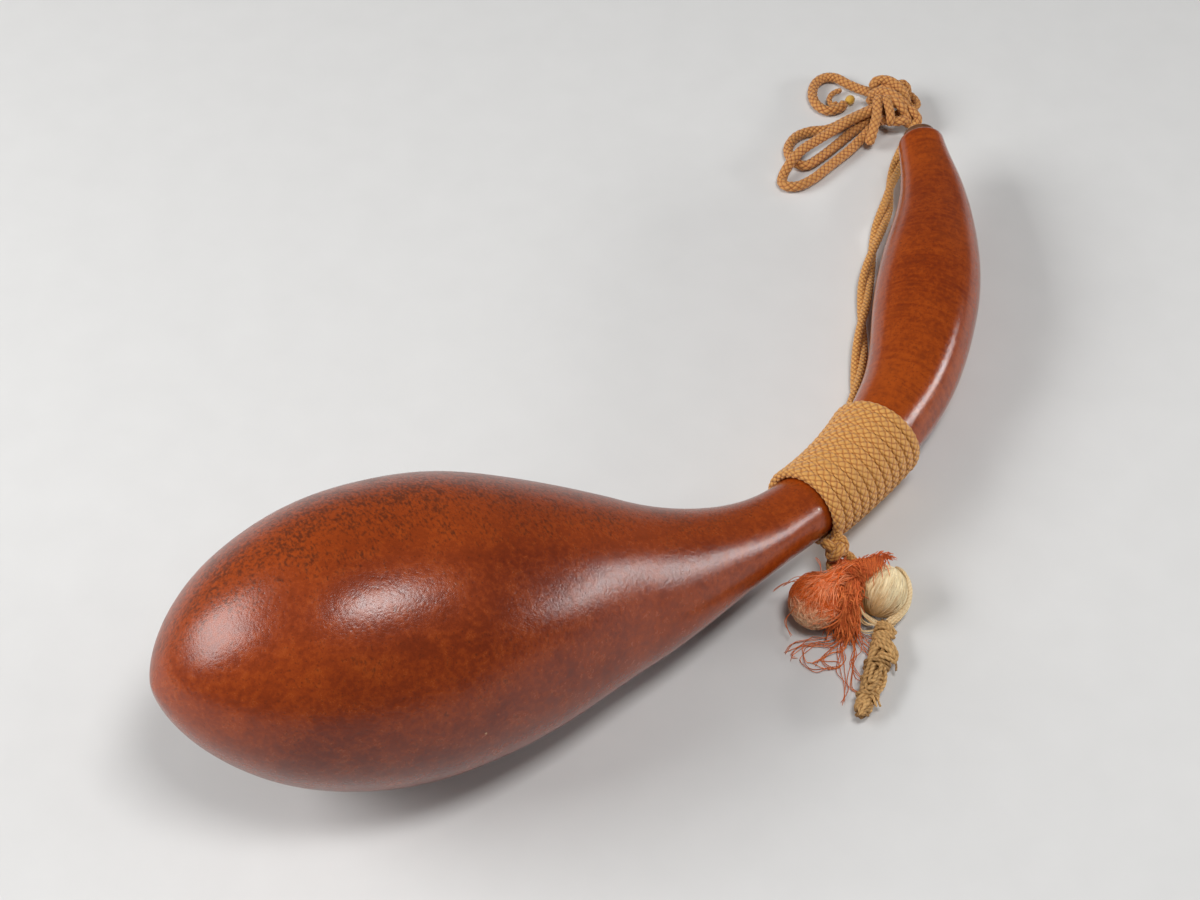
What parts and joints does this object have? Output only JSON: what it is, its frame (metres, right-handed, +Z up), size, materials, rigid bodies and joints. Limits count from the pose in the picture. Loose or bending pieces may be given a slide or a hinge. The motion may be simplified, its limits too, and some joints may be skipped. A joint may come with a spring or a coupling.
{
  "type": "gourd flask",
  "caption": "Long-necked dried gourd flask lying on its side, with a turned stopper, a cord wound round its neck, a bow of loose cord and a silk tassel.",
  "frame": {"origin": "on the floor, under the middle of the box round the gourd and its stopper", "axes": "+Z up, +Y along the gourd's longest side towards its mouth, +X to the right of that"},
  "size_m": [0.2802, 0.3731, 0.099],
  "materials": {
    "rind": "polished dried gourd rind, red-brown, satin",
    "stopper_wood": "turned dark wood, satin",
    "braid": "round braided silk cord, golden tan",
    "tip_silk": "tightly wrapped tip, mustard",
    "orange_silk": "fluffy silk ball, faded orange",
    "cream_silk": "ball wrapped with silk strands, cream",
    "red_silk": "loose silk threads, red-orange",
    "tan_silk": "wound silk threads, tan"
  },
  "bodies": {
    "gourd": {"gourd_shell": "rind", "neck_winding": "braid", "twin_cord_a": "braid", "twin_cord_b": "braid", "bow_knot": "braid", "bow_loop_long": "braid", "bow_loop_short": "braid", "bow_loop_front": "braid", "bow_loop_side": "braid", "cord_end_curl": "braid", "cord_end_thin": "braid", "end_bead": "tip_silk", "tassel_knot": "braid"},
    "stopper": {"stopper": "stopper_wood"},
    "tassel": {"tassel_ring": "braid", "pompom_orange": "orange_silk", "pompom_cream": "cream_silk", "thread_heap": "red_silk"},
    "tail": {"tail_collar": "tan_silk", "tassel_tail": "tan_silk"}
  },
  "joints": [
    {"name": "stopper_slide", "type": "slide", "parent": "gourd", "child": "stopper", "axis": [-0.0991, 0.9869, 0.1272], "range_m": [0, 0.02]},
    {"name": "tassel_swing", "type": "hinge", "parent": "gourd", "child": "tassel", "pos_m": [0.07652, -0.04335, 0.0167], "axis": [0, 0, 1], "range_deg": [-15, 30]},
    {"name": "tail_swing", "type": "hinge", "parent": "tassel", "child": "tail", "pos_m": [0.09184, -0.0675, 0.0043], "axis": [0, 0, 1], "range_deg": [-20, 20]}
  ]
}
